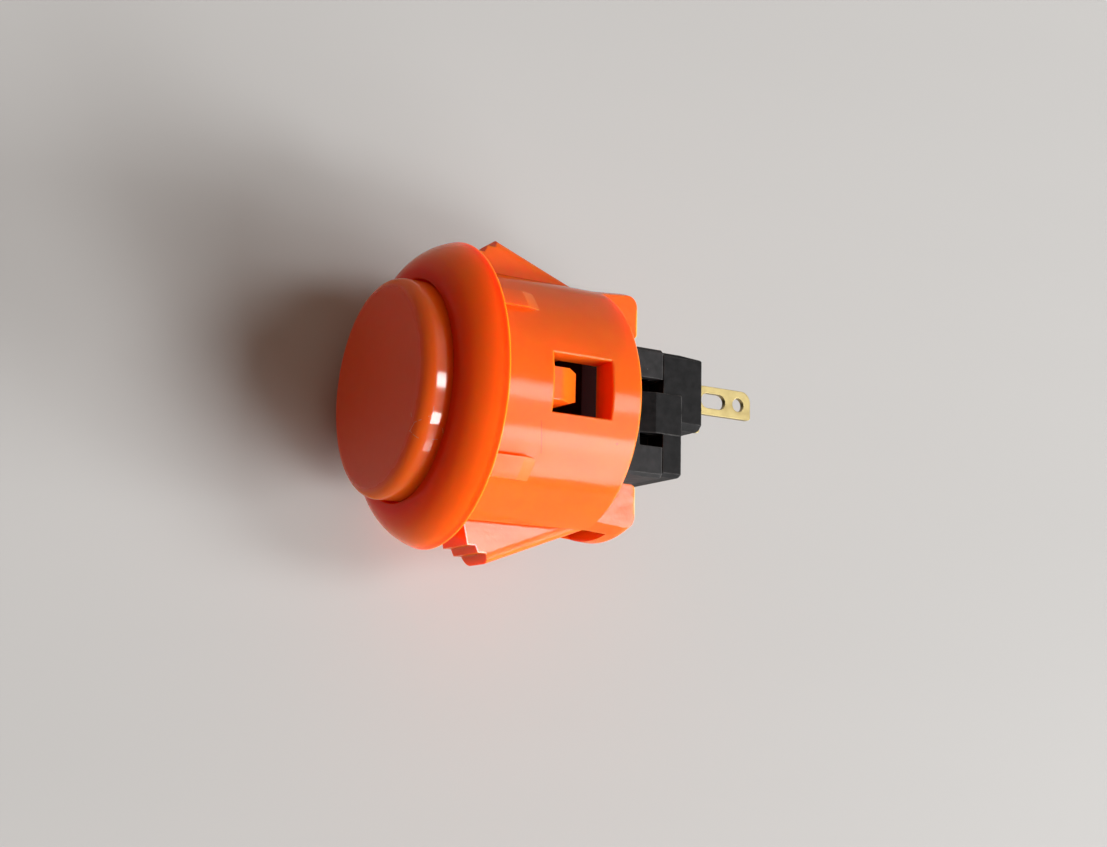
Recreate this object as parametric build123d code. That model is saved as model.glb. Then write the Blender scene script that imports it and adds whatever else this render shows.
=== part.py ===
import os
from math import asin, degrees

from build123d import *

# Snap-in arcade push button, in millimetres.
# Origin on the button's axis in the plane of the panel's front face; +Z points out of the
# button's face, the two snap clips lie on the X axis and the two hook windows on the Y axis.

# Panel the button is made for
PANEL_HOLE_R = 15.0

# Clearances
SLIDE_GAP = 0.2             # plunger in the housing's bore, all round
STEM_GAP = 0.2              # switch push pin in its square hole, each side
REST_GAP = 0.05             # faces that meet at the end of a movement
PLUG_GAP = 0.1              # switch base inside the switch case
PAD_GAP = 0.25              # centring pads inside the panel hole

# Travel of the plunger and of the push pin it presses
TRAVEL = 2.5

# Housing: rim and barrel
RIM_R = 16.95
RIM_HEIGHT = 4.15
RIM_DROP = 2.2              # of the oval's centre below the panel's front face
RIM_LIP_ROUND = 0.15
RIM_FOOT_ROUND = 0.12
PLUNGER_R = 12.0
BORE_R = PLUNGER_R + SLIDE_GAP
RIM_WIDTH = RIM_R - BORE_R
RIM_CREST_R = BORE_R + 0.04 * RIM_WIDTH
BARREL_R = 14.3
BARREL_LENGTH = 17.7
BARREL_EDGE = 0.3

# Housing: centring pads near the rim
PAD_R = PANEL_HOLE_R - PAD_GAP
PAD_WIDTH = 2.2
PAD_LENGTH = 6.0
PAD_RAMP = 1.6
PAD_CENTRE_X = 9.05

# Housing: windows for the plunger's hooks
WINDOW_HALF_WIDTH = 3.15
WINDOW_HEIGHT = 7.2
WINDOW_MARGIN = 3.8         # barrel left behind a window
WINDOW_EDGE = 0.2
WINDOW_REAR_Z = WINDOW_MARGIN - BARREL_LENGTH
WINDOW_FRONT_Z = WINDOW_REAR_Z + WINDOW_HEIGHT
GUIDE_THICKNESS = 1.2
GUIDE_DEPTH = 1.45
GUIDE_REAR = 1.7            # of the cross rib behind a window
GUIDE_GAP = 0.4             # between the guides and the plunger's skirt when pressed

# Housing: ears behind the barrel, with the inner seat for the switch
EAR_R = 14.75
EAR_HALF_WIDTH = 5.9
EAR_LENGTH = 4.65
EAR_ROUND = 1.2
EAR_INNER_ROUND = 0.6
EAR_GAP = 0.95              # between an ear's inner face and the switch's end wall
EAR_END_Z = -BARREL_LENGTH - EAR_LENGTH
LEDGE_OVERLAP = 1.85        # of the ledge over the switch's roof
LEDGE_THICKNESS = 1.2
GRIP_HALF_WIDTH = 2.6
GRIP_END_Z = EAR_END_Z + 0.95

# Housing: snap clips
SLOT_HALF_WIDTH = 3.75
SLOT_FRONT_Z = -0.8
SLOT_FLOOR_X = 11.2
EAR_FLOOR = 2.45            # of the ear left behind the slot
SLOT_REAR_Z = EAR_END_Z + EAR_FLOOR
CLIP_GAP = 0.9              # between the clip and each side of its slot
CLIP_HALF_WIDTH = SLOT_HALF_WIDTH - CLIP_GAP
CLIP_INNER_X = 12.1
CLIP_FRONT_Z = -2.45
CLIP_TIP_X = 18.2
CLIP_TIP_Z = -5.75
CLIP_ROOT_X = 12.85
CLIP_ROUND = 1.3
TIP_RISE = 1.05             # of the last tooth, up to the spine
TOOTH_RISE = 0.75
TOOTH_LAND = 0.95
TOOTH_SLOPE = 0.47

# Switch case
CASE_HALF_X = 7.45
CASE_HALF_Y = 6.8
CASE_EDGE = 0.4
CASE_LIP = 0.2
CASE_ROOF = 1.2
CASE_WALL_X = 1.45
CASE_WALL_Y = 1.3
CAVITY_X = CASE_HALF_X - CASE_WALL_X
CAVITY_Y = CASE_HALF_Y - CASE_WALL_Y
SWITCH_INSET = 3.2          # of the switch's roof inside the barrel's rear end
CASE_TOP_Z = SWITCH_INSET - BARREL_LENGTH
CATCH_DEPTH = 0.45
CATCH_HEIGHT = 1.0
CATCH_TOP_Z = CASE_TOP_Z - 5.7
CATCH_END_Z = CATCH_TOP_Z - CATCH_HEIGHT

# Push pin and bridge of the switch
STEM_HALF = 2.0
STEM_HEIGHT = 2.95
FLANGE_HALF = 3.5
FLANGE_THICKNESS = 1.3
SPINDLE_R = 1.7
SPINDLE_LENGTH = 2.55
NECK_R = 1.1
NECK_LENGTH = 1.0
BRIDGE_THICKNESS = 0.5
BRIDGE_HALF_X = 1.5
BRIDGE_GAP = 0.3
STEM_TOP_Z = CASE_TOP_Z + STEM_HEIGHT
FLANGE_TOP_Z = CASE_TOP_Z - CASE_ROOF - REST_GAP
BRIDGE_TOP_Z = FLANGE_TOP_Z - FLANGE_THICKNESS - SPINDLE_LENGTH
BRIDGE_END_Z = BRIDGE_TOP_Z - BRIDGE_THICKNESS
BRIDGE_HALF_Y = CAVITY_Y - BRIDGE_GAP
NECK_END_Z = BRIDGE_TOP_Z - NECK_LENGTH

# Contacts of the switch
CONTACT_R = 1.0
CONTACT_INSET = 0.1
CONTACT_CHAMFER = 0.15
MOVING_CONTACT_HEIGHT = 0.5
FIXED_CONTACT_HEIGHT = 0.6
CONTACT_Y = BRIDGE_HALF_Y - CONTACT_INSET - CONTACT_R
MOVING_CONTACT_END_Z = BRIDGE_END_Z - MOVING_CONTACT_HEIGHT
FIXED_CONTACT_TOP_Z = MOVING_CONTACT_END_Z - TRAVEL - REST_GAP
FOOT_TOP_Z = FIXED_CONTACT_TOP_Z - FIXED_CONTACT_HEIGHT

# Switch base: plug, plate, raised terminal block and snap tongues
SHEET = 0.6                 # brass of the terminals, which the base carries
PLUG_HEIGHT = 1.25
PLATE_THICKNESS = 2.5
PLATE_INSET = 0.2
PLATE_SIDE_INSET = 0.08
PLATE_EDGE = 0.45
PLATE_ROUND = 0.4
BLOCK_HEIGHT = 2.85
BLOCK_LOW_X = -1.5
BLOCK_TAPER = 0.3
BLOCK_BEVEL = 0.75
BLOCK_ROUND = 0.3
BOSS_R = 1.3
BOSS_HEIGHT = 0.85
PLUG_TOP_Z = FOOT_TOP_Z - SHEET
CASE_END_Z = PLUG_TOP_Z - PLUG_HEIGHT
PLATE_END_Z = CASE_END_Z - PLATE_THICKNESS
BLOCK_END_Z = PLATE_END_Z - BLOCK_HEIGHT
BOSS_TOP_Z = PLUG_TOP_Z + BOSS_HEIGHT
PLATE_HALF_X = CASE_HALF_X - PLATE_INSET
PLATE_HALF_Y = CASE_HALF_Y - PLATE_SIDE_INSET
TONGUE_HALF_X = 2.35
TONGUE_LENGTH = 3.2
TONGUE_ROOT = 1.05
TONGUE_LEAN = 0.7
NOTCH_HALF_X = 3.95
TONGUE_TOP_Z = CASE_END_Z + TONGUE_LENGTH
TONGUE_STEP_Z = CASE_END_Z + TONGUE_ROOT
NOTCH_TOP_Z = TONGUE_TOP_Z + PLUG_GAP
RELIEF_DEPTH = 1.8

# Brass terminals
BLADE_LENGTH = 8.15
BLADE_CENTRE_X = 2.66
BLADE_WIDTH = 3.4
BLADE_LARGE_ROUND = 1.3
BLADE_SMALL_ROUND = 0.35
BLADE_END_Z = BLOCK_END_Z - BLADE_LENGTH
EYE_R = 0.82
EYE_MARGIN = 1.8
EYE_Z = BLADE_END_Z + EYE_MARGIN
RAIL_WIDTH = 0.8
RAIL_SLOT_START = 0.95
RAIL_SLOT_LENGTH = 3.5
RAIL_SLOT_FRONT_Z = BLOCK_END_Z - RAIL_SLOT_START
RAIL_SLOT_REAR_Z = RAIL_SLOT_FRONT_Z - RAIL_SLOT_LENGTH
BLADE_LOW_X = BLADE_CENTRE_X - BLADE_WIDTH / 2
BLADE_HIGH_X = BLADE_CENTRE_X + BLADE_WIDTH / 2
STALK_WIDTH = 1.24          # of a terminal inside the switch base
STALK_HIGH_X = BLADE_LOW_X + STALK_WIDTH
FOOT_LOW_X = -1.4
FOOT_GAP = 0.55             # between a terminal's foot and the spring
TERMINAL_Y = CAVITY_Y - PLUG_GAP - SHEET / 2

# Return spring
SPRING_WIRE = 0.35
SPRING_MEAN_R = 1.65
SPRING_TURNS = 3.5
FOOT_INNER_Y = SPRING_MEAN_R + SPRING_WIRE / 2 + FOOT_GAP

# Plunger
FACE_Z = 7.2
FACE_EDGE_ROUND = 1.5
CAP_THICKNESS = 1.6
SKIRT_THICKNESS = 1.4
SKIRT_END_Z = -3.0
LEG_HALF_WIDTH = 2.3
LEG_THICKNESS = 1.7
HOOK_REACH_Y = 13.6
HOOK_HALF_WIDTH = 1.75
HOOK_END_HALF_WIDTH = 1.5
HOOK_TAPER_LENGTH = 2.4
HOOK_LENGTH = 3.65
HOOK_RAMP_LENGTH = 2.3
HOOK_RAMP_DEPTH = 1.2
HOOK_FRONT_Z = WINDOW_FRONT_Z - REST_GAP
HOOK_REAR_Z = HOOK_FRONT_Z - HOOK_LENGTH
POST_R = 2.5
POST_END_Z = STEM_TOP_Z + REST_GAP
RIB_THICKNESS = 1.2
RIB_DEPTH = 3.0

# Housing sizes that follow from the switch and the plunger
GUIDE_FRONT_Z = SKIRT_END_Z - TRAVEL - GUIDE_GAP
EAR_INNER_X = CASE_HALF_X + EAR_GAP
LEDGE_INNER_X = CASE_HALF_X - LEDGE_OVERLAP


def block(x0, x1, y0, y1, z0, z1):
    """A box between two opposite corners."""
    centre = Pos((x0 + x1) / 2, (y0 + y1) / 2, (z0 + z1) / 2)
    return centre * Box(x1 - x0, y1 - y0, z1 - z0)


def rod(radius, z0, z1, x=0, y=0):
    """A cylinder along Z between two heights."""
    return Pos(x, y, (z0 + z1) / 2) * Cylinder(radius, z1 - z0)


def rounded_outline(corners, rounds):
    """A flat outline whose corner number n gets the radius rounds[n]."""
    outline = Polygon(*corners, align=None)
    for number, radius in rounds.items():
        x, y = corners[number]
        corner = outline.vertices().sort_by_distance((x, y, 0))[0]
        outline = fillet(corner, radius)
    return outline


def turned(outline):
    """A solid of revolution about Z from an outline of radius and height."""
    return revolve(Plane.XZ * outline, Axis.Z)


def both_sides(shape):
    """The shape and its twin on the other side of the button's axis."""
    return shape + Rot(0, 0, 180) * shape


def rim():
    """Ring whose outer side is one oval curve from the crest down to the foot."""
    rise = RIM_HEIGHT + RIM_DROP
    foot_share = RIM_DROP / rise
    reach = (RIM_R - RIM_CREST_R) / (1 - foot_share ** 2) ** 0.5
    start = degrees(asin(foot_share))
    oval = EllipticalCenterArc((RIM_CREST_R, -RIM_DROP), reach, rise, start, arc_size=90 - start)
    rest = Polyline(oval @ 1, (BORE_R, RIM_HEIGHT), (BORE_R, 0), oval @ 0)
    outline = make_face(oval + rest)
    lip = outline.vertices().sort_by_distance((BORE_R, RIM_HEIGHT, 0))[0]
    outline = fillet(lip, RIM_LIP_ROUND)
    foot = outline.vertices().sort_by_distance((RIM_R, 0, 0))[0]
    return turned(fillet(foot, RIM_FOOT_ROUND))


def barrel():
    corners = [
        (BORE_R, 0.5),
        (BARREL_R, 0.5),
        (BARREL_R, BARREL_EDGE - BARREL_LENGTH),
        (BARREL_R - BARREL_EDGE, -BARREL_LENGTH),
        (BORE_R, -BARREL_LENGTH),
    ]
    return turned(Polygon(*corners, align=None))


def window():
    """Opening that a hook of the plunger moves in, cut through the barrel's wall."""
    half = WINDOW_HALF_WIDTH
    return block(-half, half, BORE_R - 1, BARREL_R + 1, WINDOW_REAR_Z, WINDOW_FRONT_Z)


def leg_guides():
    """Ribs at the sides and rear of a window, between which a leg of the plunger slides."""
    half = WINDOW_HALF_WIDTH + GUIDE_THICKNESS
    front = WINDOW_REAR_Z - REST_GAP
    inner = BORE_R - GUIDE_DEPTH
    ribs = block(-half, half, inner, BORE_R + 0.15, front - GUIDE_REAR, GUIDE_FRONT_Z)
    half = WINDOW_HALF_WIDTH
    return ribs - block(-half, half, inner, BORE_R + 0.15, front, GUIDE_FRONT_Z)


def centring_pads():
    """Four raised pads whose sides run straight along Y."""
    inner = BORE_R + 0.5
    corners = [
        (inner, 0.2),
        (PAD_R, 0.2),
        (PAD_R, PAD_RAMP - PAD_LENGTH),
        (BARREL_R, -PAD_LENGTH),
        (inner, -PAD_LENGTH),
    ]
    ring = turned(Polygon(*corners, align=None))
    low = PAD_CENTRE_X - PAD_WIDTH / 2
    high = PAD_CENTRE_X + PAD_WIDTH / 2
    bar = block(low, high, -PAD_R, PAD_R, -PAD_LENGTH, 0.2)
    return both_sides(bar & ring)


def ear():
    """The thick block at the clip's root; its outer face flares on from the barrel."""
    top = CASE_TOP_Z + LEDGE_THICKNESS
    inside = (BORE_R + BARREL_R) / 2
    start = BARREL_EDGE - BARREL_LENGTH
    corners = [
        (0, top),
        (inside, top),
        (inside, start),
        (BARREL_R, start),
        (EAR_R, EAR_END_Z),
        (0, EAR_END_Z),
    ]
    drum = turned(rounded_outline(corners, {4: EAR_ROUND}))
    bar = block(EAR_INNER_X, EAR_R + 1, -EAR_HALF_WIDTH, EAR_HALF_WIDTH, EAR_END_Z, top)
    inner_edge = bar.edges().filter_by(Axis.Y).sort_by_distance((EAR_INNER_X, 0, EAR_END_Z))[0]
    return drum & fillet(inner_edge, EAR_INNER_ROUND)


def switch_seat():
    """Ledge that stops the switch's roof, and the grip that holds its end wall."""
    ledge_top = CASE_TOP_Z + LEDGE_THICKNESS
    ledge = block(LEDGE_INNER_X, BORE_R + 0.5, -EAR_HALF_WIDTH, EAR_HALF_WIDTH, CASE_TOP_Z, ledge_top)
    catch_x = CASE_HALF_X - CATCH_DEPTH + REST_GAP
    corners = [
        (EAR_INNER_X + 0.5, CASE_TOP_Z),
        (CASE_HALF_X, CASE_TOP_Z),
        (CASE_HALF_X, CATCH_TOP_Z - REST_GAP),
        (catch_x, CATCH_TOP_Z - REST_GAP),
        (catch_x, CATCH_TOP_Z - 0.4),
        (EAR_INNER_X - 0.4, GRIP_END_Z),
        (EAR_INNER_X + 0.5, GRIP_END_Z),
    ]
    grip = extrude(Plane.XZ * Polygon(*corners, align=None), GRIP_HALF_WIDTH, both=True)
    return ledge + grip


def clip():
    """Cantilever arm with a rounded spine and three steps for panels of different thickness."""
    step_3 = (CLIP_TIP_X, CLIP_TIP_Z)
    root_3 = (CLIP_TIP_X - TIP_RISE, CLIP_TIP_Z + TIP_RISE * TOOTH_SLOPE)
    step_2 = (root_3[0], root_3[1] + TOOTH_LAND)
    root_2 = (step_2[0] - TOOTH_RISE, step_2[1] + TOOTH_RISE * TOOTH_SLOPE)
    step_1 = (root_2[0], root_2[1] + TOOTH_LAND)
    corners = [
        (CLIP_INNER_X, CLIP_FRONT_Z),
        (BARREL_R - 0.2, CLIP_FRONT_Z),
        step_1,
        root_2,
        step_2,
        root_3,
        step_3,
        (CLIP_ROOT_X, SLOT_REAR_Z),
        (CLIP_ROOT_X, SLOT_REAR_Z - 0.5),
        (CLIP_INNER_X - 0.2, SLOT_REAR_Z - 0.5),
        (CLIP_INNER_X - 0.2, SLOT_REAR_Z),
    ]
    arm = extrude(Plane.XZ * Polygon(*corners, align=None), CLIP_HALF_WIDTH, both=True)
    rear = (CLIP_ROOT_X - CLIP_TIP_X, 0, SLOT_REAR_Z - CLIP_TIP_Z)
    spine = Plane(origin=(CLIP_TIP_X, 0, CLIP_TIP_Z), x_dir=(0, 1, 0), z_dir=rear)
    half = CLIP_HALF_WIDTH
    depth = CLIP_TIP_X - CLIP_INNER_X + 3
    section = rounded_outline(
        [(-half, 0), (half, 0), (half, -depth), (-half, -depth)],
        {0: CLIP_ROUND, 1: CLIP_ROUND},
    )
    return arm & extrude(spine * section, BARREL_LENGTH * 2, both=True)


def housing():
    slot = block(SLOT_FLOOR_X, EAR_R + 4, -SLOT_HALF_WIDTH, SLOT_HALF_WIDTH, SLOT_REAR_Z, SLOT_FRONT_Z)
    tube = barrel() - both_sides(window())
    middle_z = (WINDOW_FRONT_Z + WINDOW_REAR_Z) / 2
    edge_y = (BARREL_R ** 2 - WINDOW_HALF_WIDTH ** 2) ** 0.5
    outer_edges = []
    for side in (-1, 1):
        outer_edges += [
            tube.edges().sort_by_distance((WINDOW_HALF_WIDTH, side * edge_y, middle_z))[0],
            tube.edges().sort_by_distance((-WINDOW_HALF_WIDTH, side * edge_y, middle_z))[0],
            tube.edges().sort_by_distance((0, side * BARREL_R, WINDOW_FRONT_Z))[0],
            tube.edges().sort_by_distance((0, side * BARREL_R, WINDOW_REAR_Z))[0],
        ]
    shell = fillet(outer_edges, WINDOW_EDGE) + both_sides(leg_guides())
    shell += rim() + centring_pads()
    shell += both_sides(ear() + switch_seat())
    shell -= both_sides(slot)
    return shell + both_sides(clip())


def plunger():
    inner_r = PLUNGER_R - SKIRT_THICKNESS
    roof_z = FACE_Z - CAP_THICKNESS
    corners = [
        (0, FACE_Z),
        (PLUNGER_R, FACE_Z),
        (PLUNGER_R, SKIRT_END_Z),
        (inner_r, SKIRT_END_Z),
        (inner_r, roof_z),
        (0, roof_z),
    ]
    cap = turned(rounded_outline(corners, {1: FACE_EDGE_ROUND, 4: 0.5}))
    leg_inner = PLUNGER_R - LEG_THICKNESS
    leg = block(-LEG_HALF_WIDTH, LEG_HALF_WIDTH, leg_inner, PLUNGER_R + 1, HOOK_REAR_Z, SKIRT_END_Z + 2)
    leg = leg & rod(PLUNGER_R, HOOK_REAR_Z, SKIRT_END_Z + 2)
    hook_corners = [
        (leg_inner + 0.3, HOOK_FRONT_Z),
        (HOOK_REACH_Y, HOOK_FRONT_Z),
        (HOOK_REACH_Y, HOOK_REAR_Z + HOOK_RAMP_LENGTH),
        (HOOK_REACH_Y - HOOK_RAMP_DEPTH, HOOK_REAR_Z),
        (leg_inner + 0.3, HOOK_REAR_Z),
    ]
    hook_outline = rounded_outline(hook_corners, {2: 1.5, 3: 0.4})
    hook = extrude(Plane.YZ * hook_outline, LEG_HALF_WIDTH, both=True)
    draft = [
        (-LEG_HALF_WIDTH, leg_inner),
        (LEG_HALF_WIDTH, leg_inner),
        (LEG_HALF_WIDTH, PLUNGER_R - 0.4),
        (HOOK_HALF_WIDTH, HOOK_REACH_Y),
        (-HOOK_HALF_WIDTH, HOOK_REACH_Y),
        (-LEG_HALF_WIDTH, PLUNGER_R - 0.4),
    ]
    tapered = Pos(0, 0, HOOK_REAR_Z) * extrude(Polygon(*draft, align=None), HOOK_FRONT_Z - HOOK_REAR_Z)
    hook = hook & tapered
    taper_z = HOOK_REAR_Z + HOOK_TAPER_LENGTH
    plan = [
        (-LEG_HALF_WIDTH, SKIRT_END_Z + 2),
        (-LEG_HALF_WIDTH, taper_z),
        (-HOOK_END_HALF_WIDTH, HOOK_REAR_Z),
        (HOOK_END_HALF_WIDTH, HOOK_REAR_Z),
        (LEG_HALF_WIDTH, taper_z),
        (LEG_HALF_WIDTH, SKIRT_END_Z + 2),
    ]
    latch = (leg + hook) & extrude(Plane.XZ * Polygon(*plan, align=None), PLUNGER_R * 2, both=True)
    post = rod(POST_R, POST_END_Z, roof_z + 0.5)
    reach = inner_r + 0.3
    half = RIB_THICKNESS / 2
    rib = block(-reach, reach, -half, half, roof_z - RIB_DEPTH, roof_z + 0.5)
    ribs = rib + Rot(0, 0, 90) * rib
    return cap + both_sides(latch) + post + ribs


def switch_case():
    case = block(-CASE_HALF_X, CASE_HALF_X, -CASE_HALF_Y, CASE_HALF_Y, CASE_END_Z, CASE_TOP_Z)
    case = chamfer(case.edges().filter_by(Axis.Z), CASE_EDGE)
    case = chamfer(case.edges().group_by(Axis.Z)[0], CASE_LIP)
    case -= block(-CAVITY_X, CAVITY_X, -CAVITY_Y, CAVITY_Y, CASE_END_Z, CASE_TOP_Z - CASE_ROOF)
    hole = STEM_HALF + STEM_GAP
    case -= block(-hole, hole, -hole, hole, CASE_TOP_Z - CASE_ROOF, CASE_TOP_Z)
    notch = block(-NOTCH_HALF_X, NOTCH_HALF_X, CAVITY_Y, CASE_HALF_Y, CASE_END_Z, NOTCH_TOP_Z)
    catch_half = GRIP_HALF_WIDTH + 0.2
    catch_x = CASE_HALF_X - CATCH_DEPTH
    catch = block(catch_x, CASE_HALF_X, -catch_half, catch_half, CATCH_END_Z, CATCH_TOP_Z)
    return case - both_sides(notch) - both_sides(catch)


def switch_base():
    plate = block(-PLATE_HALF_X, PLATE_HALF_X, -PLATE_HALF_Y, PLATE_HALF_Y, PLATE_END_Z, CASE_END_Z)
    plate = chamfer(plate.edges().filter_by(Axis.Z), PLATE_EDGE)
    low_edge = plate.edges().filter_by(Axis.Y).sort_by_distance((-PLATE_HALF_X, 0, PLATE_END_Z))[0]
    plate = fillet(low_edge, PLATE_ROUND)
    raised_corners = [
        (BLOCK_LOW_X, PLATE_END_Z + 0.5),
        (PLATE_HALF_X, PLATE_END_Z + 0.5),
        (PLATE_HALF_X, PLATE_END_Z),
        (PLATE_HALF_X - BLOCK_TAPER, BLOCK_END_Z),
        (BLOCK_LOW_X, BLOCK_END_Z),
    ]
    raised_outline = rounded_outline(raised_corners, {3: BLOCK_ROUND, 4: BLOCK_ROUND})
    raised = extrude(Plane.XZ * raised_outline, PLATE_HALF_Y, both=True)
    bevel = [
        (BLOCK_LOW_X, BLOCK_BEVEL - PLATE_HALF_Y),
        (BLOCK_LOW_X + BLOCK_BEVEL, -PLATE_HALF_Y),
        (PLATE_HALF_X - PLATE_EDGE, -PLATE_HALF_Y),
        (PLATE_HALF_X, PLATE_EDGE - PLATE_HALF_Y),
        (PLATE_HALF_X, PLATE_HALF_Y - PLATE_EDGE),
        (PLATE_HALF_X - PLATE_EDGE, PLATE_HALF_Y),
        (BLOCK_LOW_X + BLOCK_BEVEL, PLATE_HALF_Y),
        (BLOCK_LOW_X, PLATE_HALF_Y - BLOCK_BEVEL),
    ]
    prism = extrude(Polygon(*bevel, align=None), CASE_END_Z - BLOCK_END_Z)
    raised = raised & (Pos(0, 0, BLOCK_END_Z) * prism)
    base = plate + raised
    half = TONGUE_HALF_X
    base += block(-half, half, -CASE_HALF_Y, CASE_HALF_Y, PLATE_END_Z, CASE_END_Z)
    plug_x = CAVITY_X - PLUG_GAP
    plug_y = CAVITY_Y - PLUG_GAP
    plug = block(-plug_x, plug_x, -plug_y, plug_y, CASE_END_Z, PLUG_TOP_Z)
    for low in (-NOTCH_HALF_X, half):
        high = low + NOTCH_HALF_X - half
        plug -= both_sides(block(low, high, plug_y - RELIEF_DEPTH, plug_y, CASE_END_Z, PLUG_TOP_Z))
    base += plug + rod(BOSS_R, PLUG_TOP_Z, BOSS_TOP_Z)
    tongue_corners = [
        (CAVITY_Y, CASE_END_Z),
        (CASE_HALF_Y, CASE_END_Z),
        (CASE_HALF_Y, TONGUE_STEP_Z),
        (CASE_HALF_Y - TONGUE_LEAN, TONGUE_TOP_Z),
        (CAVITY_Y, TONGUE_TOP_Z),
    ]
    tongue = extrude(Plane.YZ * Polygon(*tongue_corners, align=None), half, both=True)
    base += both_sides(tongue)
    for side in (-1, 1):
        near = side * TERMINAL_Y - SHEET / 2
        base -= block(BLADE_LOW_X, STALK_HIGH_X, near, near + SHEET, BLOCK_END_Z, PLUG_TOP_Z)
    return base


def actuator():
    stem = block(-STEM_HALF, STEM_HALF, -STEM_HALF, STEM_HALF, FLANGE_TOP_Z, STEM_TOP_Z)
    stem = fillet(stem.faces().sort_by(Axis.Z)[-1].edges(), 0.5)
    flange_end = FLANGE_TOP_Z - FLANGE_THICKNESS
    flange = block(-FLANGE_HALF, FLANGE_HALF, -FLANGE_HALF, FLANGE_HALF, flange_end, FLANGE_TOP_Z)
    spindle = rod(SPINDLE_R, BRIDGE_TOP_Z, flange_end)
    neck = rod(NECK_R, NECK_END_Z, BRIDGE_TOP_Z)
    return stem + flange + spindle + neck


def contact_bridge():
    bar = block(-BRIDGE_HALF_X, BRIDGE_HALF_X, -BRIDGE_HALF_Y, BRIDGE_HALF_Y, BRIDGE_END_Z, BRIDGE_TOP_Z)
    bar = fillet(bar.edges().filter_by(Axis.Z), 0.6)
    return bar - rod(NECK_R, BRIDGE_END_Z, BRIDGE_TOP_Z)


def moving_contact(side):
    rivet = rod(CONTACT_R, MOVING_CONTACT_END_Z, BRIDGE_END_Z, y=side * CONTACT_Y)
    return chamfer(rivet.edges().sort_by(Axis.Z)[0], CONTACT_CHAMFER)


def fixed_contact(side):
    rivet = rod(CONTACT_R, FOOT_TOP_Z, FIXED_CONTACT_TOP_Z, y=side * CONTACT_Y)
    return chamfer(rivet.edges().sort_by(Axis.Z)[-1], CONTACT_CHAMFER)


def terminal(side):
    """Brass blade that leaves the switch base, with a foot under its contact."""
    corners = [
        (BLADE_LOW_X, FOOT_TOP_Z),
        (STALK_HIGH_X, FOOT_TOP_Z),
        (STALK_HIGH_X, BLOCK_END_Z),
        (BLADE_HIGH_X, BLOCK_END_Z),
        (BLADE_HIGH_X, BLADE_END_Z),
        (BLADE_LOW_X, BLADE_END_Z),
    ]
    outline = rounded_outline(corners, {4: BLADE_LARGE_ROUND, 5: BLADE_SMALL_ROUND})
    outline -= Pos(BLADE_CENTRE_X, EYE_Z) * Circle(EYE_R)
    slot_r = BLADE_WIDTH / 2 - RAIL_WIDTH
    slot_length = RAIL_SLOT_FRONT_Z - RAIL_SLOT_REAR_Z
    slot_z = (RAIL_SLOT_FRONT_Z + RAIL_SLOT_REAR_Z) / 2
    outline -= Pos(BLADE_CENTRE_X, slot_z) * Rot(0, 0, 90) * SlotOverall(slot_length, 2 * slot_r)
    blade = extrude(Plane.XZ * outline, SHEET / 2, both=True)
    outer_y = TERMINAL_Y + SHEET / 2
    foot = block(FOOT_LOW_X, STALK_HIGH_X, FOOT_INNER_Y, outer_y, PLUG_TOP_Z, FOOT_TOP_Z)
    if side < 0:
        foot = mirror(foot, Plane.XZ)
    return Pos(0, side * TERMINAL_Y, 0) * blade + foot


def return_spring():
    """Helical wire between the bridge's underside and the switch base."""
    height = BRIDGE_END_Z - PLUG_TOP_Z - SPRING_WIRE
    path = Helix(pitch=height / SPRING_TURNS, height=height, radius=SPRING_MEAN_R)
    section = Plane(path @ 0, z_dir=path % 0) * Circle(SPRING_WIRE / 2)
    coil = sweep(section, path, is_frenet=True)
    return Pos(0, 0, PLUG_TOP_Z + SPRING_WIRE / 2) * coil


pieces = {
    "housing": housing(),
    "plunger": plunger(),
    "switch_case": switch_case(),
    "switch_base": switch_base(),
    "actuator": actuator(),
    "contact_bridge": contact_bridge(),
    "moving_contact_a": moving_contact(-1),
    "moving_contact_b": moving_contact(1),
    "return_spring": return_spring(),
    "terminal_a": terminal(-1),
    "terminal_b": terminal(1),
    "fixed_contact_a": fixed_contact(-1),
    "fixed_contact_b": fixed_contact(1),
}

os.makedirs("parts", exist_ok=True)
for name, piece in pieces.items():
    export_step(piece, f"parts/{name}.step")
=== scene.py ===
import math

import bpy
from mathutils import Matrix, Vector


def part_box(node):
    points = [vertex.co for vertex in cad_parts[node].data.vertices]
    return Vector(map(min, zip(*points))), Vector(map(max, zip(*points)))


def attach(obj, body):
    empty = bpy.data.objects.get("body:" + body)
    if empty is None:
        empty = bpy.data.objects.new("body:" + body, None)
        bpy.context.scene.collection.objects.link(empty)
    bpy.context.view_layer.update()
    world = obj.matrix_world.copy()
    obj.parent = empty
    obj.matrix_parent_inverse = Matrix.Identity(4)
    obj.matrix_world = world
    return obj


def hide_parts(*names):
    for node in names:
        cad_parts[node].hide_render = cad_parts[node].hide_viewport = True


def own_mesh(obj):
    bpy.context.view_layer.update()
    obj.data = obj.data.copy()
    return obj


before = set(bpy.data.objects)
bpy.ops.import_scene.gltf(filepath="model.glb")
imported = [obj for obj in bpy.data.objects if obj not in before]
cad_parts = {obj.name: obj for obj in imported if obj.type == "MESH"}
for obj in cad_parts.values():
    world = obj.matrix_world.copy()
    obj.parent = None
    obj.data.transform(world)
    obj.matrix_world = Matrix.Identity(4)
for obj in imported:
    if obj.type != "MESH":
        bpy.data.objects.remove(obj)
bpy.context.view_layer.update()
scene = bpy.context.scene


# Housing: one moulding of glossy, slightly translucent orange plastic with the rim, the barrel, the
# ears and the two toothed clips. The mould is polished; the flanks of the clips and ears keep the
# fine grain of spark erosion. It snaps into the panel and carries everything else.

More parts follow.
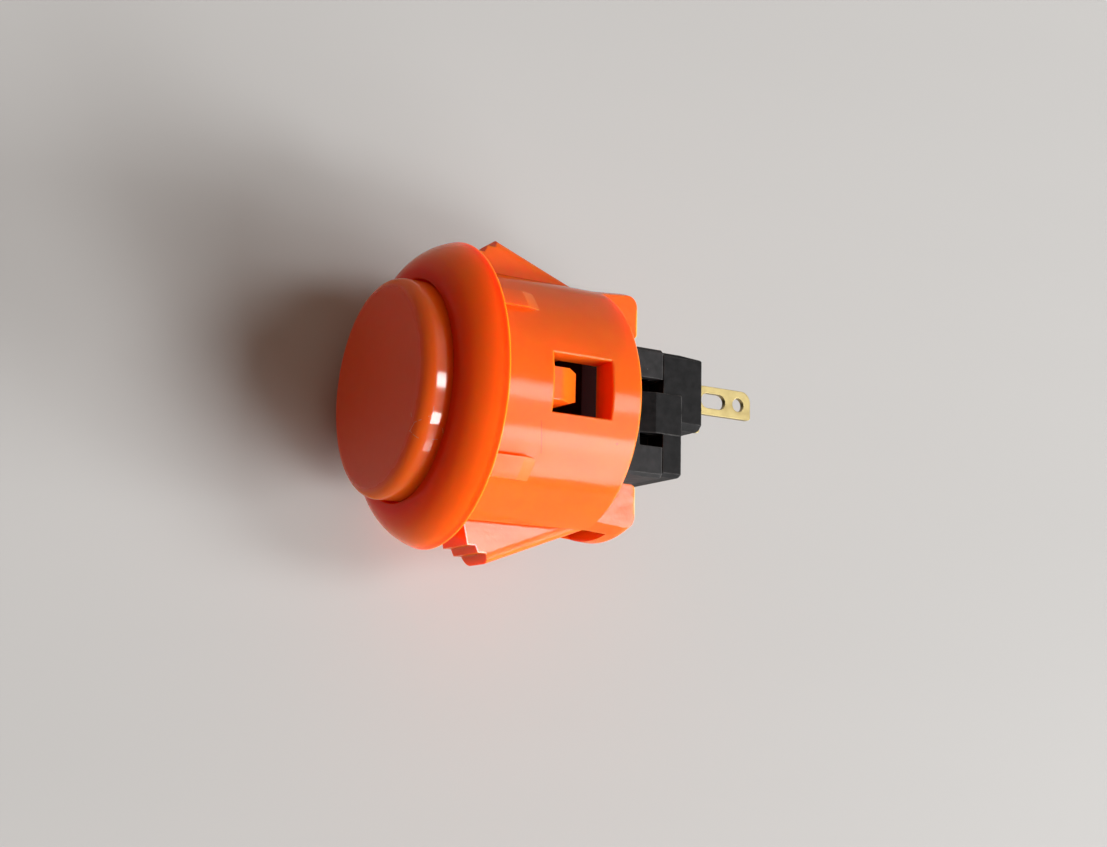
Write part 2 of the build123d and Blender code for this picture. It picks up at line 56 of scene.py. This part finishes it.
ORANGE = (0.95, 0.138, 0.009)
ORANGE_DEEP = (0.93, 0.126, 0.008)
ORANGE_EDGE_WEAR_AND_HIGHLIGHT = (0.96, 0.22, 0.06)
DUST = (0.80, 0.62, 0.52)


def grow(tree, kind, inputs=None, **settings):
    """Adds a node; inputs maps a socket's name or number to a value or to the socket that feeds it."""
    node = tree.nodes.new(kind)
    for name, value in settings.items():
        setattr(node, name, value)
    for key, value in (inputs or {}).items():
        if isinstance(value, bpy.types.NodeSocket):
            tree.links.new(value, node.inputs[key])
        else:
            node.inputs[key].default_value = value
    return node


def maths(tree, operation, first, second=0.0):
    """One step of arithmetic on values or sockets."""
    return grow(tree, "ShaderNodeMath", {0: first, 1: second}, operation=operation).outputs[0]


def product(tree, first, *others):
    """All of them multiplied; for masks, 1 only where each of them is."""
    for other in others:
        first = maths(tree, "MULTIPLY", first, other)
    return first


def between(tree, value, low, high, to_low=0.0, to_high=1.0):
    """Goes from to_low to to_high while value goes from low to high, and holds still outside that."""
    sockets = {"Value": value, "From Min": low, "From Max": high, "To Min": to_low, "To Max": to_high}
    return grow(tree, "ShaderNodeMapRange", sockets).outputs[0]


def blend_values(tree, share, first, second):
    return grow(tree, "ShaderNodeMix", {0: share, 2: first, 3: second}).outputs[0]


def blend_colours(tree, share, first, second):
    node = grow(tree, "ShaderNodeMix", {0: share}, data_type="RGBA")
    for socket, value in ((node.inputs[6], first), (node.inputs[7], second)):
        if isinstance(value, bpy.types.NodeSocket):
            tree.links.new(value, socket)
        else:
            socket.default_value = (*value, 1.0)
    return node.outputs[2]


def new_finish(name):
    """A material with its tree, its shader and the piece's own coordinates."""
    material = bpy.data.materials.new(name)
    material.use_nodes = True
    tree = material.node_tree
    shader = tree.nodes["Principled BSDF"]
    place = grow(tree, "ShaderNodeTexCoord").outputs["Object"]
    return material, tree, shader, place


def grain(tree, place, per_metre, detail=2.0, stretch=(1.0, 1.0, 1.0)):
    """Noise between 0 and 1 at a real scale; stretch below 1 draws it out along an axis."""
    drawn = grow(tree, "ShaderNodeMapping", {"Vector": place, "Scale": stretch}).outputs[0]
    sockets = {"Vector": drawn, "Scale": per_metre, "Detail": detail}
    return grow(tree, "ShaderNodeTexNoise", sockets).outputs[0]


def specks(tree, place, per_metre, reach, rarity):
    """1 on small scattered dots: reach is their share of a cell, rarity the share of bare cells."""
    cells = grow(tree, "ShaderNodeTexVoronoi", {"Vector": place, "Scale": per_metre}).outputs
    chance = grow(tree, "ShaderNodeSeparateColor", {0: cells["Color"]}).outputs[0]
    dot = maths(tree, "LESS_THAN", cells["Distance"], reach)
    return product(tree, dot, maths(tree, "GREATER_THAN", chance, rarity))


def soft_edges(tree, radius):
    """The normal rounded over the piece's edges, and a mask that is 1 along them."""
    rounded = grow(tree, "ShaderNodeBevel", {"Radius": radius}, samples=4).outputs[0]
    flat = grow(tree, "ShaderNodeNewGeometry").outputs["True Normal"]
    sockets = {0: rounded, 1: flat}
    likeness = grow(tree, "ShaderNodeVectorMath", sockets, operation="DOT_PRODUCT").outputs["Value"]
    return rounded, between(tree, likeness, 0.985, 0.88)


def relief(tree, height, depth, under):
    """The normal under, with height standing out of the surface by depth."""
    sockets = {"Height": height, "Strength": 1.0, "Distance": depth, "Normal": under}
    return grow(tree, "ShaderNodeBump", sockets).outputs[0]


def orange_plastic(name, gloss, ripple):
    """Polished orange plastic with edges that show wear and a painted highlight, and a little lint, which
    a piece's own marks go on.
    """
    material, tree, shader, place = new_finish(name)
    clouds = grain(tree, place, per_metre=180.0, detail=3.0)
    colour = blend_colours(tree, between(tree, clouds, 0.35, 0.65), ORANGE, ORANGE_DEEP)
    rounded, edges = soft_edges(tree, radius=0.00012)
    # The edges are lighter: partly wear, partly a painted edge highlight.
    edge_wear_and_highlight = product(tree, edges, between(tree, grain(tree, place, per_metre=900.0), 0.3, 0.6), 0.45)
    colour = blend_colours(tree, edge_wear_and_highlight, colour, ORANGE_EDGE_WEAR_AND_HIGHLIGHT)
    lint = product(tree, specks(tree, place, per_metre=700.0, reach=0.025, rarity=0.92), 0.5)
    colour = blend_colours(tree, lint, colour, DUST)
    flow = grain(tree, place, per_metre=2600.0, detail=3.0, stretch=(1.0, 1.0, 0.04))
    roughness = between(tree, flow, 0.3, 0.7, gloss - 0.025, gloss + 0.04)
    normal = relief(tree, grain(tree, place, per_metre=420.0, detail=1.0), ripple, rounded)
    normal = relief(tree, flow, 0.000003, normal)
    shader.inputs["IOR"].default_value = 1.5
    shader.inputs["Subsurface Weight"].default_value = 0.9
    shader.inputs["Subsurface Radius"].default_value = (1.0, 0.22, 0.04)
    return material, tree, shader, place, colour, roughness, normal


material, tree, shader, place, colour, roughness, normal = orange_plastic(
    "housing_orange", gloss=0.13, ripple=0.000022
)
x, y, z = grow(tree, "ShaderNodeSeparateXYZ", {0: place}).outputs

# Painted light on the rim: a painted red glow and shade on its inner slope next to the bore, a painted
# lighter, yellower tone towards its lit outer edge, and painted shade at its foot.
RIM_PAINTED_GLOW = (0.99, 0.03, 0.004)
RIM_PAINTED_LIGHT = (0.88, 0.185, 0.012)
RIM_FOOT_PAINTED_SHADE = (0.60, 0.09, 0.006)
RIM_BACK = -0.0002
rim_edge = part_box("housing")[1][1]
across = grow(tree, "ShaderNodeCombineXYZ", {0: x, 1: y}).outputs[0]
radius = grow(tree, "ShaderNodeVectorMath", {0: across}, operation="LENGTH").outputs["Value"]
inward = maths(tree, "SUBTRACT", rim_edge, radius)
rim = maths(tree, "GREATER_THAN", z, RIM_BACK)
for tint, from_edge, rise in (
    (RIM_PAINTED_GLOW, (0.0016, 0.0038), (0.0, 0.0012)),
    (RIM_PAINTED_LIGHT, (0.0023, 0.0005), (-0.0001, 0.0003)),
    (RIM_FOOT_PAINTED_SHADE, (0.0008, 0.0002), (0.0009, 0.0004)),
):
    zone = product(tree, between(tree, inward, *from_edge), between(tree, z, *rise), rim)
    colour = blend_colours(tree, zone, colour, tint)

# The flat flanks of the clips and ears have the pits and faint waves of spark erosion.
FLANK_START = 0.0085
SQUARE_ON = 0.98
FLANK_ROUGH = (0.10, 0.17)
PIT_DEPTH = 0.000016
WAVE_DEPTH = 0.00005
true_normal = grow(tree, "ShaderNodeNewGeometry").outputs["True Normal"]
facing = grow(tree, "ShaderNodeSeparateXYZ", {0: true_normal}).outputs
sideways = maths(tree, "ABSOLUTE", x)
flank = product(
    tree,
    maths(tree, "GREATER_THAN", maths(tree, "ABSOLUTE", facing["Y"]), SQUARE_ON),
    maths(tree, "GREATER_THAN", sideways, FLANK_START),
)
pits = grain(tree, place, per_metre=2600.0, detail=3.0)
roughness = blend_values(tree, flank, roughness, between(tree, pits, 0.3, 0.7, *FLANK_ROUGH))
normal = relief(tree, product(tree, pits, flank), PIT_DEPTH, normal)
waves = grain(tree, place, per_metre=520.0)
normal = relief(tree, product(tree, waves, flank), WAVE_DEPTH, normal)

# Light spreads far in the thick rim and barrel and less in the thin clips.
CLIP_START = 0.0118
CLIP_TOP = -0.001
RIM_GLOW = 0.007
BARREL_GLOW = 0.005
CLIP_GLOW = 0.0012
clips = product(
    tree,
    maths(tree, "GREATER_THAN", sideways, CLIP_START),
    maths(tree, "LESS_THAN", z, CLIP_TOP),
)
glow = between(tree, z, -0.002, 0.0, BARREL_GLOW, RIM_GLOW)
glow = blend_values(tree, clips, glow, CLIP_GLOW)
tree.links.new(glow, shader.inputs["Subsurface Scale"])

# A painted white glint runs along the flank's edge on one clip's teeth.
TEETH_START = -0.0142
TEETH_END = -0.0062
GLINT_WHITE_PAINTED = (1.0, 0.85, 0.74)
teeth = product(
    tree,
    soft_edges(tree, radius=0.00035)[1],
    flank,
    maths(tree, "GREATER_THAN", z, TEETH_END),
    maths(tree, "LESS_THAN", x, TEETH_START),
)
colour = blend_colours(tree, teeth, colour, GLINT_WHITE_PAINTED)

# One fine scratch runs across the barrel, and one dark speck is near its rear end.
SCRATCH_SLOPE = 0.29
SCRATCH_Z = -0.004235
SCRATCH_MIDDLE = -0.0058
SCRATCH_HALF_LENGTH = 0.0016
SCRATCH_HALF_WIDTH = 0.00005
NEAR_SIDE = -0.01
SPECK_PLACE = (-0.00557, -0.01317, -0.01516)
SPECK_RADIUS = 0.00014
MARK_BROWN = (0.25, 0.03, 0.01)


def near(tree, value, centre, half):
    """1 where value lies within half of centre, else 0."""
    sockets = {0: value, 1: centre, 2: half}
    return grow(tree, "ShaderNodeMath", sockets, operation="COMPARE").outputs[0]


def away_from(tree, place, point):
    return grow(tree, "ShaderNodeVectorMath", {0: place, 1: point}, operation="DISTANCE").outputs["Value"]


line = maths(tree, "ADD", product(tree, x, SCRATCH_SLOPE), SCRATCH_Z)
scratch = product(
    tree,
    near(tree, maths(tree, "SUBTRACT", z, line), 0.0, SCRATCH_HALF_WIDTH),
    near(tree, x, SCRATCH_MIDDLE, SCRATCH_HALF_LENGTH),
    maths(tree, "LESS_THAN", y, NEAR_SIDE),
)
speck = maths(tree, "LESS_THAN", away_from(tree, place, SPECK_PLACE), SPECK_RADIUS)
marks = product(tree, maths(tree, "MAXIMUM", scratch, speck), 0.6)
colour = blend_colours(tree, marks, colour, MARK_BROWN)

# The flanks shine most, the rim and what faces the rear least.
FLANK_SHINE = 0.36
BARREL_SHINE = 0.21
REAR_SHINE = 0.06
RIM_SHINE = 0.05


def grazing(tree, shine, start=0.38, end=0.72, rest=0.12):
    """A shine that fades to the share rest of it where the surface is seen edge on."""
    turned = grow(tree, "ShaderNodeLayerWeight").outputs["Facing"]
    return between(tree, turned, start, end, shine, rest * shine)


def finish(material, tree, shader, colour, roughness, normal, shine=None):
    """Joins a finish's parts to its shader."""
    parts = {"Base Color": colour, "Roughness": roughness, "Normal": normal, "Specular IOR Level": shine}
    for socket, part in parts.items():
        if part is not None:
            tree.links.new(part, shader.inputs[socket])
    return material


def dress(node_name, material):
    """Gives a CAD piece its finish."""
    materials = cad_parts[node_name].data.materials
    materials.clear()
    materials.append(material)


shine = blend_values(tree, flank, grazing(tree, BARREL_SHINE), FLANK_SHINE)
shine = blend_values(tree, between(tree, facing["Z"], -0.05, -0.3), shine, REAR_SHINE)
shine = blend_values(tree, between(tree, z, -0.0002, 0.0006), shine, RIM_SHINE)
dress("housing", finish(material, tree, shader, colour, roughness, normal, shine))


# Plunger: the pressed cap, moulded in the same orange plastic. Its flat face is rubbed dull by thumbs
# and painted a darker red as painted shade; its rounded edge is still polished. It slides in the bore,
# and the hooks of its two legs hold it in the barrel's windows.

PLUNGER_ORANGE = (0.97, 0.145, 0.008)
FACE_PAINTED_SHADE = (0.84, 0.055, 0.008)
FACE_ROUGH = (0.28, 0.32)
PLUNGER_GLOW = 0.001
WALL_SHINE = 0.9
BEND_SHINE = 0.12
FACE_SHINE = 0.2

material, tree, shader, place, colour, roughness, normal = orange_plastic(
    "plunger_orange", gloss=0.08, ripple=0.000006
)
shader.inputs["Subsurface Scale"].default_value = PLUNGER_GLOW
face_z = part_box("plunger")[1][2]
sunk = maths(tree, "SUBTRACT", face_z, grow(tree, "ShaderNodeSeparateXYZ", {0: place}).outputs["Z"])
face = between(tree, sunk, 0.0003, 0.00002)
bend = between(tree, sunk, 0.0015, 0.0011)
colour = blend_colours(tree, 0.7, colour, PLUNGER_ORANGE)
# Painted shade: the face, turned away from the lamps, is painted a darker red.
colour = blend_colours(tree, product(tree, face, 0.8), colour, FACE_PAINTED_SHADE)
rubbed = grain(tree, place, per_metre=650.0, detail=4.0)
roughness = blend_values(tree, face, roughness, between(tree, rubbed, 0.3, 0.7, *FACE_ROUGH))
wall = grazing(tree, WALL_SHINE, start=0.2, end=0.34)
shine = blend_values(tree, bend, wall, grazing(tree, BEND_SHINE))
shine = blend_values(tree, face, shine, FACE_SHINE)

# Fine dust hairs cling to the edge.
HAIR_PLACE = (-0.0055, -0.0103, 0.0060)
HAIR_REACH = 0.0021
HAIR_WIDTH = 0.012
web = grow(tree, "ShaderNodeTexVoronoi", {"Vector": place, "Scale": 420.0}, feature="DISTANCE_TO_EDGE")
hairs = product(
    tree,
    maths(tree, "LESS_THAN", web.outputs["Distance"], HAIR_WIDTH),
    maths(tree, "LESS_THAN", away_from(tree, place, HAIR_PLACE), HAIR_REACH),
    maths(tree, "GREATER_THAN", grain(tree, place, per_metre=600.0), 0.5),
    0.45,
)
colour = blend_colours(tree, hairs, colour, DUST)
dress("plunger", finish(material, tree, shader, colour, roughness, normal, shine))


# Switch case and base: two mouldings of black satin nylon. The base's tongues snap into the case's
# notches, and the case is gripped between the housing's ears.

BLACK = (0.0085, 0.0085, 0.009)
BLACK_EDGE_WEAR_AND_HIGHLIGHT = (0.10, 0.098, 0.095)
BLACK_PAINTED_SHADE = (0.012, 0.002, 0.002)
BLACK_DUST = (0.3, 0.28, 0.26)
BLACK_ROUGH = (0.44, 0.62)
INSIDE_START = -0.0185
INSIDE_FULL = -0.0172


def black_plastic(name, tone):
    """Satin black, which tone lifts or lowers; painted shade makes it deeper and a little red within the
    barrel.
    """
    material, tree, shader, place = new_finish(name)
    mottle = grain(tree, place, per_metre=900.0, detail=4.0)
    dark = tuple(0.8 * tone * c for c in BLACK)
    pale = tuple(4.0 * c for c in dark)
    colour = blend_colours(tree, between(tree, mottle, 0.35, 0.7), dark, pale)
    rounded, edges = soft_edges(tree, radius=0.00016)
    # The edges are lighter: partly wear, partly a painted edge highlight.
    edge_wear_and_highlight = product(tree, edges, between(tree, grain(tree, place, per_metre=700.0), 0.3, 0.5), 0.9)
    colour = blend_colours(tree, edge_wear_and_highlight, colour, BLACK_EDGE_WEAR_AND_HIGHLIGHT)
    lint = product(tree, specks(tree, place, per_metre=800.0, reach=0.04, rarity=0.85), 0.4)
    colour = blend_colours(tree, lint, colour, BLACK_DUST)
    z = grow(tree, "ShaderNodeSeparateXYZ", {0: place}).outputs["Z"]
    # Painted shade: within the barrel the black is painted deeper and a little red, and shines less.
    inside = between(tree, z, INSIDE_START, INSIDE_FULL)
    colour = blend_colours(tree, inside, colour, BLACK_PAINTED_SHADE)
    roughness = between(tree, mottle, 0.3, 0.7, *BLACK_ROUGH)
    normal = relief(tree, grain(tree, place, per_metre=3500.0, detail=3.0), 0.000014, rounded)
    shine = between(tree, inside, 0.0, 1.0, 0.2 * tone, 0.02)
    return finish(material, tree, shader, colour, roughness, normal, shine)


dress("switch_case", black_plastic("case_black", tone=0.85))
dress("switch_base", black_plastic("base_black", tone=0.48))


# Push pin and contact bar: the plunger's post presses a black nylon pin, which carries a bar of
# copper alloy with a silver contact riveted into each end. The bar meets two like contacts, which
# are riveted to the terminals.

COPPER = (0.62, 0.36, 0.20)
COPPER_DULL = (0.45, 0.24, 0.13)
SILVER = (0.80, 0.79, 0.76)
SILVER_DULL = (0.52, 0.50, 0.46)


def sheet_metal(name, bright, dull, rough, stretch=(1.0, 1.0, 1.0)):
    """Rolled metal: fine lines drawn out along one axis, dull clouds of tarnish and rubbed edges."""
    material, tree, shader, place = new_finish(name)
    rounded, edges = soft_edges(tree, radius=0.00008)
    tarnish = between(tree, grain(tree, place, per_metre=700.0, detail=4.0), 0.4, 0.7)
    colour = blend_colours(tree, tarnish, bright, dull)
    colour = blend_colours(tree, product(tree, edges, 0.5), colour, bright)
    lines = grain(tree, place, per_metre=9000.0, detail=3.0, stretch=stretch)
    roughness = between(tree, lines, 0.3, 0.7, rough - 0.05, rough + 0.05)
    roughness = maths(tree, "ADD", roughness, product(tree, tarnish, 0.08))
    normal = relief(tree, lines, 0.000003, rounded)
    shader.inputs["Metallic"].default_value = 1.0
    return finish(material, tree, shader, colour, roughness, normal)


dress("actuator", black_plastic("pin_black", tone=0.9))
copper = sheet_metal("bridge_copper", COPPER, COPPER_DULL, rough=0.34, stretch=(1.0, 0.05, 1.0))
dress("contact_bridge", copper)
silver = sheet_metal("contact_silver", SILVER, SILVER_DULL, rough=0.28)
for name in ("moving_contact_a", "moving_contact_b", "fixed_contact_a", "fixed_contact_b"):
    dress(name, silver)


# Return spring: three and a half turns of drawn steel wire between the contact bar and the switch
# base, round the base's boss. It shortens towards the base as the pin is pressed.

STEEL = (0.56, 0.56, 0.57)
STEEL_DULL = (0.40, 0.40, 0.41)
SPRING_MEAN_RADIUS = 0.00165
SPRING_WIRE = 0.00035
SPRING_TURNS = 3.5
SPRING_FOOT_Z = -0.02435
POINTS_PER_TURN = 48
WIRE_SIDES = 16
low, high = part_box("return_spring")
spring_height = high[2] - low[2]

steel = sheet_metal("spring_steel", STEEL, STEEL_DULL, rough=0.26)
tree = bpy.data.node_groups.new("coil", "GeometryNodeTree")
for label in ("Radius", "Turns", "Rise", "Wire"):
    tree.interface.new_socket(name=label, in_out="INPUT", socket_type="NodeSocketFloat")
tree.interface.new_socket(name="Geometry", in_out="OUTPUT", socket_type="NodeSocketGeometry")
asked = grow(tree, "NodeGroupInput").outputs
spiral = grow(tree, "GeometryNodeCurveSpiral", {
    "Resolution": POINTS_PER_TURN,
    "Rotations": asked["Turns"],
    "Start Radius": asked["Radius"],
    "End Radius": asked["Radius"],
    "Height": asked["Rise"],
})
wire = grow(tree, "GeometryNodeCurvePrimitiveCircle", {"Resolution": WIRE_SIDES, "Radius": asked["Wire"]})
coil = grow(tree, "GeometryNodeCurveToMesh", {
    "Curve": spiral.outputs[0],
    "Profile Curve": wire.outputs[0],
    "Fill Caps": True,
})
start = (0.0, 0.0, SPRING_FOOT_Z + SPRING_WIRE / 2)
moved = grow(tree, "GeometryNodeTransform", {"Geometry": coil.outputs[0], "Translation": start})
real = grow(tree, "GeometryNodeRealizeInstances", {0: moved.outputs[0]})
coated = grow(tree, "GeometryNodeSetMaterial", {"Geometry": real.outputs[0], "Material": steel})
grow(tree, "NodeGroupOutput", {"Geometry": coated.outputs[0]})

spring = bpy.data.objects.new("spring_coil", bpy.data.meshes.new("spring_coil"))
scene.collection.objects.link(spring)
winding = spring.modifiers.new("coil", "NODES")
winding.node_group = tree
sizes = {
    "Radius": SPRING_MEAN_RADIUS,
    "Turns": SPRING_TURNS,
    "Rise": spring_height - SPRING_WIRE,
    "Wire": SPRING_WIRE / 2,
}
for item in tree.interface.items_tree:
    if item.in_out == "INPUT":
        winding[item.identifier] = sizes[item.name]
bpy.context.view_layer.update()
settled = spring.evaluated_get(bpy.context.evaluated_depsgraph_get())
wound = bpy.data.meshes.new_from_object(settled)
spring.modifiers.remove(winding)
spring.data = wound
wound.shade_smooth()
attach(spring, "frame")
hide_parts("return_spring")
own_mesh(spring)


# Terminals: two blades stamped from pale brass sheet, pushed up through the switch base, with their
# inner ends bent over under the fixed contacts. Each has a wire eye and a long slot.

BRASS = (0.34, 0.272, 0.122)
BRASS_DULL = (0.265, 0.205, 0.087)
for name in ("terminal_a", "terminal_b"):
    dress(name, sheet_metal(name + "_brass", BRASS, BRASS_DULL, rough=0.36, stretch=(1.0, 1.0, 0.05)))


# Table: a plain pale grey top that the button lies on, touching the rim's edge and the barrel's
# rear end. It is a stage: it shows only its upper side and lets the lamps through, so it hides and
# shades nothing from below.

TABLE = (0.54, 0.548, 0.544)
TABLE_HALF = 1.5
RIM_TOUCH = Vector((0.0, 0.01695, 0.0003))
REAR_TOUCH = Vector((0.0, 0.0143, -0.0174))
along = (RIM_TOUCH - REAR_TOUCH).normalized() * TABLE_HALF
across = Vector((TABLE_HALF, 0.0, 0.0))
corners = [REAR_TOUCH + along * a + across * b for a, b in ((-1, -1), (-1, 1), (1, 1), (1, -1))]
mesh = bpy.data.meshes.new("table")
mesh.from_pydata(corners, [], [(0, 1, 2, 3)])
table = bpy.data.objects.new("table", mesh)
scene.collection.objects.link(table)
material, tree, shader, place = new_finish("table_top")
veins = grain(tree, place, per_metre=25.0, detail=4.0, stretch=(1.0, 1.0, 0.12))
tone = blend_colours(tree, between(tree, veins, 0.3, 0.7), TABLE, tuple(0.97 * c for c in TABLE))
tree.links.new(tone, shader.inputs["Base Color"])
shader.inputs["Roughness"].default_value = 0.6
shader.inputs["Specular IOR Level"].default_value = 0.2
lit = maths(tree, "SUBTRACT", 1.0, grow(tree, "ShaderNodeLightPath").outputs["Is Shadow Ray"])
front = maths(tree, "SUBTRACT", 1.0, grow(tree, "ShaderNodeNewGeometry").outputs["Backfacing"])
clear = grow(tree, "ShaderNodeBsdfTransparent").outputs[0]
sockets = {0: product(tree, lit, front), 1: clear, 2: shader.outputs[0]}
mixed = grow(tree, "ShaderNodeMixShader", sockets).outputs[0]
tree.links.new(mixed, tree.nodes["Material Output"].inputs["Surface"])
mesh.materials.append(material)


# Light: a broad soft window with three brighter panes, a main light further to the right of the
# picture with a low fill below it, and a weak warm fill on the face that isn't mirrored. The surround
# is dim, but pale where it is seen or mirrored.

LAMP_DISTANCE = 2.0
LAMP_AIM = Vector((0.0, 0.0, -0.008))
WHITE = (1.0, 1.0, 1.0)
WARM = (1.0, 0.66, 0.48)
DIM_WARM = (1.0, 0.76, 0.6, 1.0)
DIM_LEVEL = 0.08
PALE_GREY = (0.46, 0.452, 0.444, 1.0)


def panel(name, azimuth, width, low, high, radiance, tint=WHITE):
    """A flat lamp; azimuth runs round the button's axis from -Y to -X, low and high tilt it to -Z."""
    tilt = math.radians((low + high) / 2)
    turn = math.radians(azimuth)
    out = Vector((-math.sin(turn) * math.cos(tilt), -math.cos(turn) * math.cos(tilt), -math.sin(tilt)))
    lamp = bpy.data.lights.new(name, "AREA")
    lamp.shape = "RECTANGLE"
    lamp.color = tint
    lamp.size = 2 * LAMP_DISTANCE * math.tan(math.radians(width / 2)) * math.cos(tilt)
    lamp.size_y = 2 * LAMP_DISTANCE * math.tan(math.radians((high - low) / 2))
    lamp.energy = radiance * math.pi * lamp.size * lamp.size_y
    holder = bpy.data.objects.new(name, lamp)
    holder.location = LAMP_AIM + out * LAMP_DISTANCE
    side = Vector((0.0, 0.0, 1.0)).cross(out).normalized()
    holder.rotation_euler = Matrix((side, out.cross(side), out)).transposed().to_euler()
    scene.collection.objects.link(holder)
    return holder


panel("window", azimuth=33.0, width=80.0, low=27.5, high=38.0, radiance=3.0)
panel("upper_pane", azimuth=-3.2, width=14.5, low=14.0, high=39.0, radiance=9.6)
panel("lower_pane", azimuth=36.0, width=12.0, low=14.0, high=40.0, radiance=11.5)
panel("side_pane", azimuth=58.0, width=32.0, low=28.0, high=39.0, radiance=8.0)
panel("main_light", azimuth=37.0, width=44.0, low=47.0, high=71.0, radiance=18.0)
panel("low_fill", azimuth=77.0, width=36.0, low=45.0, high=70.0, radiance=11.5)
face_fill = panel("front_fill", azimuth=0.0, width=70.0, low=-30.0, high=4.0, radiance=0.5, tint=WARM)
face_fill.visible_glossy = False

world = bpy.data.worlds.new("surround")
scene.world = world
world.use_nodes = True
tree = world.node_tree
dim = tree.nodes["Background"]
dim.inputs["Color"].default_value = DIM_WARM
dim.inputs["Strength"].default_value = DIM_LEVEL
pale = grow(tree, "ShaderNodeBackground", {"Color": PALE_GREY, "Strength": 1.0})
rays = grow(tree, "ShaderNodeLightPath").outputs
seen = maths(tree, "MAXIMUM", rays["Is Camera Ray"], rays["Is Glossy Ray"])
seen = maths(tree, "MAXIMUM", seen, rays["Is Transmission Ray"])
both = grow(tree, "ShaderNodeMixShader", {0: seen, 1: dim.outputs[0], 2: pale.outputs[0]})
tree.links.new(both.outputs[0], tree.nodes["World Output"].inputs["Surface"])


# Camera: at the photograph's place, looking down at the button's side and face, with the view set so
# that colours show as they are written.

CAMERA_PLACE = (-0.033339, -0.145080, 0.070625)
CAMERA_TURN = (13.0089, 59.1594, -87.3657)
LENS = 48.78
SENSOR_WIDTH = 36.0
NEAREST = 0.005
camera = bpy.data.objects.new("camera", bpy.data.cameras.new("camera"))
camera.data.sensor_width = SENSOR_WIDTH
camera.data.lens = LENS
camera.data.clip_start = NEAREST
camera.location = CAMERA_PLACE
camera.rotation_euler = [math.radians(angle) for angle in CAMERA_TURN]
scene.collection.objects.link(camera)
scene.camera = camera
scene.view_settings.view_transform = "Standard"
